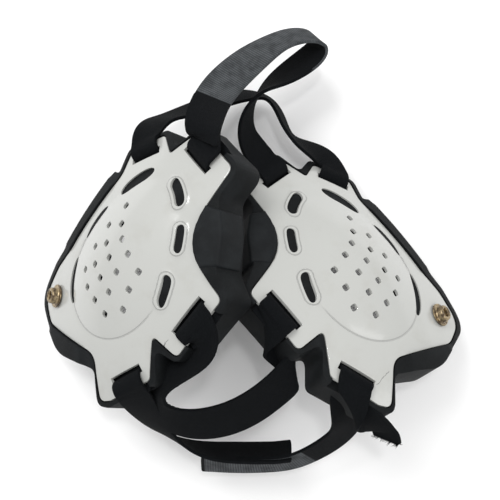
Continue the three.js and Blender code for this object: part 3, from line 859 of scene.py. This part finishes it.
# Straps
# Flat bands of woven webbing with a soft loop pile. Each turns round the bar of a slot, with its end
# tucked under. Its run is the way that its middle lies, in millimetres, with the band's roll there, or
# the heading and tilt of its width in degrees.
strap_thickness = 2
strap_layer_gap = 0.5
strap_tail = 5
bar_gap = 1.4
bar_overhang = 2
straps = [
    {"name": "crown_strap", "slot": "crown", "start": "left", "finish": "right", "run": [
        {"x": -26, "y": 58.5, "z": 86, "roll": 12},
        {"x": -23.5, "y": 68.5, "z": 78, "roll": 6},
        {"x": -21, "y": 78.5, "z": 67, "roll": 2},
        {"x": -15, "y": 89, "z": 58, "roll": 6},
        {"x": -6.5, "y": 98.5, "z": 51, "roll": 16},
        {"x": 3.5, "y": 108, "z": 45, "roll": 30},
        {"x": 14, "y": 117, "z": 39, "roll": 48},
        {"x": 25.5, "y": 122.5, "z": 33, "aside": 122, "tilt": -46},
        {"x": 36, "y": 124.5, "z": 30, "aside": 125, "tilt": -44},
        {"x": 44, "y": 122, "z": 29, "aside": 126, "tilt": -42},
        {"x": 44, "y": 116, "z": 28, "aside": 127, "tilt": -38},
        {"x": 36, "y": 110.5, "z": 28, "aside": 128, "tilt": -34},
        {"x": 25.5, "y": 103.5, "z": 29, "aside": 129, "tilt": -38},
        {"x": 15, "y": 96.5, "z": 31, "aside": 132, "tilt": -50},
        {"x": 4.5, "y": 89.5, "z": 34, "roll": 100},
        {"x": -1.5, "y": 80, "z": 37, "roll": 80},
        {"x": -4, "y": 70.5, "z": 40, "roll": 62},
        {"x": -3.5, "y": 61.5, "z": 42, "roll": 42},
    ]},
    {"name": "front_strap", "slot": "front", "start": "left", "finish": "right", "run": [
        {"x": -57.5, "y": 64.5, "z": 52, "roll": 8},
        {"x": -54.5, "y": 72, "z": 44, "roll": 38},
        {"x": -47, "y": 74.5, "z": 38, "roll": 75},
        {"x": -39.5, "y": 77, "z": 33, "roll": 60},
        {"x": -29, "y": 82, "z": 24, "roll": 50},
        {"x": -14.5, "y": 89.5, "z": 14, "roll": 50},
        {"x": 0, "y": 93.5, "z": 10, "roll": 55},
        {"x": 12, "y": 93, "z": 10, "roll": 62},
        {"x": 18, "y": 81.5, "z": 16, "roll": 74},
        {"x": 19.5, "y": 69.5, "z": 21, "roll": 74},
        {"x": 25.5, "y": 61, "z": 20, "roll": 72},
        {"x": 37, "y": 59, "z": 14, "roll": 52},
        {"x": 46, "y": 56.5, "z": 10.5, "roll": 24},
    ]},
    {"name": "rear_strap", "slot": "rear", "start": "left", "finish": "right", "run": [
        {"x": -21.5, "y": -42, "z": 95, "roll": -6},
        {"x": -20.5, "y": -49.5, "z": 92, "roll": -18},
        {"x": -27, "y": -54, "z": 83, "roll": -48},
        {"x": -37.5, "y": -59.5, "z": 76, "aside": -58, "tilt": 50},
        {"x": -47, "y": -65, "z": 70, "aside": -42, "tilt": 48},
        {"x": -54, "y": -73.5, "z": 66, "aside": -8, "tilt": 45},
        {"x": -53, "y": -84, "z": 62, "aside": 32, "tilt": 42},
        {"x": -46, "y": -91.5, "z": 60, "aside": 62, "tilt": 38},
        {"x": -35, "y": -95, "z": 59.5, "roll": -34},
        {"x": -15, "y": -92.5, "z": 60, "roll": -30},
        {"x": 1, "y": -85, "z": 63, "roll": -30},
        {"x": 14.5, "y": -74, "z": 67, "roll": -36},
        {"x": 22.5, "y": -67, "z": 70.5, "aside": 125, "tilt": 30},
        {"x": 28, "y": -61.5, "z": 70, "aside": 97, "tilt": 10},
        {"x": 24, "y": -56, "z": 66, "aside": 65, "tilt": 0},
        {"x": 15, "y": -49.5, "z": 67, "aside": 52, "tilt": 0},
        {"x": 6.5, "y": -44, "z": 71, "aside": 70, "tilt": 0},
        {"x": 3.5, "y": -41.5, "z": 76, "aside": 105, "tilt": -4},
        {"x": 6, "y": -39.5, "z": 80.5, "aside": 125, "tilt": -6},
    ]},
    {"name": "nape_strap_left", "slot": "nape", "start": "left", "run": [
        {"x": -59.5, "y": -77, "z": 70, "roll": -12},
        {"x": -57, "y": -88, "z": 56, "roll": -32},
        {"x": -49, "y": -101, "z": 43, "roll": -60},
        {"x": -37, "y": -111, "z": 34, "roll": -85},
        {"x": -23, "y": -115.5, "z": 29, "roll": -105},
        {"x": -5.5, "y": -116, "z": 28, "roll": -112},
        {"x": 11.5, "y": -116, "z": 28, "roll": -112},
        {"x": 24, "y": -114.5, "z": 29, "roll": -112},
    ]},
    {"name": "nape_strap_right", "slot": "nape", "through": "right", "run": [
        {"x": -28, "y": -122.5, "z": 26, "roll": 126},
        {"x": -8.5, "y": -123.5, "z": 26, "roll": 126},
        {"x": 8.5, "y": -123.5, "z": 27, "roll": 126},
        {"x": 24.5, "y": -122, "z": 29, "roll": 126},
        {"x": 36.5, "y": -116, "z": 32, "roll": 130},
        {"x": 47.5, "y": -107.5, "z": 37, "roll": 136},
        {"x": 54, "y": -99, "z": 45, "roll": 146},
        {"x": 54, "y": -89, "z": 58, "roll": 160},
        {"x": 50, "y": -80, "z": 69, "roll": 174},
    ], "tail": [
        {"x": 50.5, "y": -79, "z": 81, "aside": -38, "tilt": -12},
        {"x": 50, "y": -84.5, "z": 77.5, "aside": -60, "tilt": -18},
        {"x": 54.5, "y": -87, "z": 72, "aside": -98, "tilt": -15},
        {"x": 60, "y": -89, "z": 69, "aside": -118, "tilt": -38},
        {"x": 66.5, "y": -91, "z": 67, "aside": -128, "tilt": -50},
        {"x": 71, "y": -95, "z": 65, "aside": -148, "tilt": -58},
        {"x": 73, "y": -101, "z": 63, "aside": -166, "tilt": -60},
    ]},
]


def bar_stations(side, slot, tucked):
    """The places where a strap turns round a bar, each with the way across the strap."""
    centre, out, along, normal = slot_frame(slot)
    over = shell_wall / 2 + bar_gap + strap_thickness / 2
    layered = (strap_thickness + strap_layer_gap) / 2
    bar_start = slot_opening / 2
    bar_end = bar_start + slot["bar"]
    end = [(bar_end + strap_tail, -layered), (bar_end + strap_tail / 2, -layered)]
    turn = [(bar_end, -over), (bar_start, -over), (0, 0), (bar_start, over), (bar_end + bar_overhang, over)]
    matrix = cup_matrix(cups[side])
    world_out = (matrix.to_3x3() @ out).normalized()
    world_normal = (matrix.to_3x3() @ normal).normalized()
    across = world_normal.cross(world_out)
    route = end + turn if tucked else turn
    return [(matrix @ (centre + out * a + normal * b), across) for a, b in route]


def arriving(stations):
    return [(centre, -across) for centre, across in reversed(stations)]


def run_stations(rows, before=None, after=None):
    centres = [base + Vector((row["x"], row["y"], row["z"])) * mm for row in rows]
    stations = []
    for i, row in enumerate(rows):
        last = centres[i - 1] if i else before or centres[i]
        following = centres[i + 1] if i + 1 < len(rows) else after or centres[i]
        ahead = (following - last).normalized()
        left = Vector((-ahead.y, ahead.x, 0)).normalized()
        up = ahead.cross(left)
        if "roll" in row:
            roll = radians(row["roll"])
            stations.append((centres[i], left * cos(roll) - up * sin(roll)))
        else:
            aside = radians(row["aside"])
            tilt = radians(row["tilt"])
            stations.append((centres[i], Vector((cos(aside) * cos(tilt), sin(aside) * cos(tilt), sin(tilt)))))
    return stations


def strap_stations(strap):
    """All the places that a strap passes, from its start to its end."""
    slot = slots[strap["slot"]]
    leave = bar_stations(strap["start"], slot, True) if "start" in strap else []
    arrive = arriving(bar_stations(strap["finish"], slot, True)) if "finish" in strap else []
    middle = bar_stations(strap["through"], slot, False) if "through" in strap else []
    after = (arrive or middle or [(None, None)])[0][0]
    run = run_stations(strap["run"], leave[-1][0] if leave else None, after)
    tail = run_stations(strap.get("tail", []), middle[-1][0] if middle else None)
    return leave + run + arrive + middle + tail


def through_points(points, share):
    """A point on the smooth curve through points, at a share of its spans."""
    span = min(len(points) - 2, int(share * (len(points) - 1)))
    t = share * (len(points) - 1) - span
    near = [points[max(0, min(len(points) - 1, span + k))] for k in (-1, 0, 1, 2)]
    if span == 0:
        near[0] = near[1] * 2 - near[2]
    if span == len(points) - 2:
        near[3] = near[2] * 2 - near[1]
    gaps = [max(1e-6, (b - a).length) ** 0.5 for a, b in zip(near, near[1:])]
    steps = [(b - a) / gap for a, b, gap in zip(near, near[1:], gaps)]
    start = steps[0] - (near[2] - near[0]) / (gaps[0] + gaps[1]) + steps[1]
    stop = steps[1] - (near[3] - near[1]) / (gaps[1] + gaps[2]) + steps[2]
    start = start * gaps[1]
    stop = stop * gaps[1]
    curve = near[1] * (2 * t**3 - 3 * t**2 + 1) + start * (t**3 - 2 * t**2 + t)
    return curve + near[2] * (3 * t**2 - 2 * t**3) + stop * (t**3 - t**2)


columns_across = 4
row_spacing = 2 * mm
curve_steps = 40
held_stations = 4
firm_stations = 2
loose_pull = 0.015
firm_pull = 0.25


def even_rows(strap, stations):
    """Rows at an even spacing along the strap: centre, across, and how firmly each one keeps its place."""
    steps = (len(stations) - 1) * curve_steps
    lines = [through_points([station[0] for station in stations], i / steps) for i in range(steps + 1)]
    reach = [0]
    for a, b in zip(lines, lines[1:]):
        reach.append(reach[-1] + (b - a).length)
    count = round(reach[-1] / row_spacing)
    ending = len(stations) - 1
    held_start = held_stations if "start" in strap else -1
    held_end = ending - held_stations if "finish" in strap else ending + 1
    slot_station = ending - len(strap.get("tail", [])) - 2 if "through" in strap else -9
    rows = []
    k = 0
    for i in range(count + 1):
        goal = reach[-1] * i / count
        while k < steps and reach[k + 1] < goal:
            k += 1
        share = min(1, (k + 0.5) / steps)
        station = share * (len(stations) - 1)
        across = through_points([one[1] for one in stations], share)
        pull = loose_pull
        if station <= held_start or station >= held_end or abs(station - slot_station) < 1.2:
            pull = 1
        elif "start" in strap and station <= held_start + firm_stations:
            pull = firm_pull
        elif station >= held_end - firm_stations:
            pull = firm_pull
        rows.append((lines[min(k, steps)], across, pull))
    return rows, reach[-1]


cloth_thickness = 1.8 * mm
settling_rounds = 260
squeeze = 0.12
slant_stiffness = 0.7
bend_stiffness = 0.06


def settle(rows, length, width):
    """Lets a strap find its folds: its threads keep their length while it stays near its path."""
    spots = []
    for i, (centre, across, pull) in enumerate(rows):
        ahead = (rows[min(i + 1, len(rows) - 1)][0] - rows[max(i - 1, 0)][0]).normalized()
        side = (across - ahead * across.dot(ahead)).normalized()
        spots.append([centre + side * width * (j / columns_across - 0.5) for j in range(columns_across + 1)])
    spots = numpy.array(spots)
    goals = spots.copy()
    pulls = numpy.array([pull for centre, across, pull in rows])[:, None, None]
    along = length / (len(rows) - 1)
    aside = width / columns_across
    slant = hypot(along, aside)
    links = [
        (spots[1:, :], spots[:-1, :], along, 1),
        (spots[:, 1:], spots[:, :-1], aside, 1),
        (spots[1:, 1:], spots[:-1, :-1], slant, slant_stiffness),
        (spots[1:, :-1], spots[:-1, 1:], slant, slant_stiffness),
        (spots[2:, :], spots[:-2, :], 2 * along, 0.25),
        (spots[:, 2:], spots[:, :-2], 2 * aside, 0.5),
    ]
    for turn in range(settling_rounds):
        for first, second, rest, stiffness in links:
            gap = first - second
            size = numpy.linalg.norm(gap, axis=2, keepdims=True) + 1e-9
            give = 1 - rest / size
            move = gap * numpy.where(give < 0, give * squeeze, give) * 0.25 * stiffness
            second += move
            first -= move
        for reach in (1, 3):
            middle = (spots[: -2 * reach] + spots[2 * reach :]) / 2
            spots[reach:-reach] += (middle - spots[reach:-reach]) * bend_stiffness
        spots += (goals - spots) * pulls
        spots[:, :, 2] = numpy.maximum(spots[:, :, 2], cloth_thickness)
    return spots


ripple_scale = 45
ripple_height = 0.3 * mm


def band(spots, length, width, lift=0.0, first=0, last=None):
    """A grid laid through some of a strap's rows, with its length and width as its map."""
    bm = bmesh.new()
    rows = spots[first:last]
    count = len(rows)
    bmesh.ops.create_grid(bm, x_segments=count - 1, y_segments=columns_across, size=1)
    layer = bm.loops.layers.uv.new("map")
    place = {}
    for vert in bm.verts:
        place[vert] = (round((vert.co.x + 1) / 2 * (count - 1)), round((vert.co.y + 1) / 2 * columns_across))
    for face in bm.faces:
        face.smooth = True
        for loop in face.loops:
            i, j = place[loop.vert]
            loop[layer].uv = ((first + i) * length / (len(spots) - 1), (j / columns_across - 0.5) * width)
    for vert, (i, j) in place.items():
        vert.co = Vector(rows[i][j])
    bmesh.ops.recalc_face_normals(bm, faces=bm.faces)
    bm.normal_update()
    for vert in bm.verts:
        place[vert] = vert.normal.copy()
    for vert in bm.verts:
        ripple = noise.noise(vert.co * ripple_scale) * ripple_height
        vert.co += place[vert] * (lift + ripple)
    return bm


def finish_cloth(piece, thickness):
    """Makes the surface finer and gives it a wall with soft edges. The under side has slots 2 and 3."""
    finer = piece.modifiers.new("finer", "SUBSURF")
    finer.levels = 2
    finer.render_levels = 2
    wall = piece.modifiers.new("wall", "SOLIDIFY")
    wall.thickness = thickness
    wall.offset = 0
    wall.material_offset = 2
    rim = piece.modifiers.new("rim", "BEVEL")
    rim.width = 0.5 * mm
    rim.segments = 2
    rim.limit_method = "ANGLE"
    rim.angle_limit = radians(60)


random.seed(4)
fray_threads = 420
fray_steps = 5
fray_radius = 0.22 * mm
fray_rooted = 1.5 * mm
fray_reach = (1.2, 3.4)


def frayed_end(spots):
    """Loose threads that stand out of the last row in a tangle. Each grows out of a small triangle."""
    last = [Vector(spot) for spot in spots[-1]]
    ahead = sum((Vector(a) - Vector(b) for a, b in zip(spots[-1], spots[-3])), Vector()).normalized()
    side = (last[-1] - last[0]).normalized()
    up = side.cross(ahead)
    facing = Matrix((up, side, ahead)).transposed().to_4x4()
    threads = bmesh.new()
    number = threads.faces.layers.int.new("thread")
    runs = []
    for i in range(fray_threads):
        share = random.uniform(0.02, 0.98)
        lift = up * random.uniform(-0.4, 0.4) * cloth_thickness
        root = last[0].lerp(last[-1], share) + lift - ahead * fray_rooted
        turn = random.uniform(-1, 1)
        heave = random.uniform(-1, 1)
        runs.append((root, turn, heave, random.uniform(*fray_reach) * mm))
        seat = Matrix.Translation(root) @ facing
        made = bmesh.ops.create_circle(threads, cap_ends=True, segments=3, radius=fray_radius, matrix=seat)
        made["verts"][0].link_faces[0][number] = i
    ends = list(threads.faces)
    for step in range(1, fray_steps + 1):
        t = step / fray_steps
        ends = bmesh.ops.extrude_discrete_faces(threads, faces=ends)["faces"]
        for end in ends:
            root, turn, heave, reach = runs[end[number]]
            outwards = ahead * reach * t * (1 - 0.5 * t)
            sideways = side * reach * 0.5 * turn * t * t
            upwards = up * reach * 0.6 * heave * t * t * (1.2 + 0.8 * heave)
            spot = root + outwards + sideways + upwards
            middle = end.calc_center_median()
            for vert in end.verts:
                vert.co = spot + (vert.co - middle).normalized() * fray_radius * (1 - 0.5 * t)
    bmesh.ops.holes_fill(threads, edges=[edge for edge in threads.edges if edge.is_boundary], sides=3)
    bmesh.ops.recalc_face_normals(threads, faces=threads.faces)
    threads.faces.layers.int.remove(number)
    return threads


# The pile is a dense nap of fine loops, nearly black, and it catches a little lint.
pile_dark = (0.0022, 0.0028, 0.0035, 1)
pile_worn = (0.011, 0.0125, 0.0145, 1)
pile, wire, place = start_material("strap_pile")
nap = place.cloud(2600, 3, 0.7)
wear = place.cloud(130, 3, 0.6)
fluff = nap.fade(0.45, 0.72) * (0.25 + wear * 0.7)
end_material(
    wire,
    {"Base Color": fluff.tint(pile_dark, pile_worn), "Roughness": 0.95, "Specular IOR Level": 0.12},
    nap + wear, 0.35 * mm,
)
# The plain webbing has cross ribs and a fine weave, and is grey where it is worn.
web_dark = (0.006, 0.007, 0.0085, 1)
web_worn = (0.1, 0.108, 0.115, 1)
rib_pitch = 1.45 * mm
webbing, wire, place = start_material("strap_webbing")
u, v, w = wire.node("ShaderNodeUVMap", {"uv_map": "map"}).parts()
ribs = (u * (2 * pi / rib_pitch)).wave() * 0.5 + 0.5
yarns = (v * (4 * pi / rib_pitch)).wave() * 0.5 + 0.5
worn = place.cloud(160, 4, 0.6).fade(0.3, 0.65)
end_material(
    wire,
    {
        "Base Color": ((ribs * 0.5 + yarns * 0.3 + 0.2) * (0.45 + worn * 0.55)).tint(web_dark, web_worn),
        "Roughness": 0.85,
        "Specular IOR Level": 0.2,
    },
    ribs + yarns * 0.4, 0.25 * mm,
)
# Shares of a strap's length: where the webbing is bare, and where the crown strap has its second layer.
webbed_shares = {"crown_strap": (0.235, 0.62), "nape_strap_right": (0, 0.31)}
bare_above = [pile, webbing, pile, pile]
bare_below = [pile, pile, pile, webbing]
patch_shares = (0.115, 0.24)
patch_lift = 1.3 * mm
patch_thickness = 1.4 * mm
for strap in straps:
    width = slots[strap["slot"]]["strap"] * mm
    rows, length = even_rows(strap, strap_stations(strap))
    spots = settle(rows, length, width)
    cloth = band(spots, length, width)
    bare_start, bare_end = webbed_shares.get(strap["name"], (0, 0))
    layer = cloth.loops.layers.uv["map"]
    for face in cloth.faces:
        share = face.loops[0][layer].uv.x / length
        face.material_index = 1 if bare_start < share < bare_end else 0
    materials = bare_above if strap["name"] == "crown_strap" else bare_below
    piece = add_piece(strap["name"] + "_cloth", cloth, materials, strap["name"])
    finish_cloth(piece, cloth_thickness)
    if strap["name"] == "crown_strap":
        first, last = [round(share * (len(rows) - 1)) for share in patch_shares]
        second_layer = band(spots, length, width, patch_lift, first, last)
        patch = add_piece("crown_strap_patch", second_layer, [pile], None)
        finish_cloth(patch, patch_thickness)
        patch_length = length * (last - 1 - first) / (len(rows) - 1)
    if strap["name"] == "nape_strap_right":
        add_piece("nape_strap_right_fray", frayed_end(spots), [pile], None)
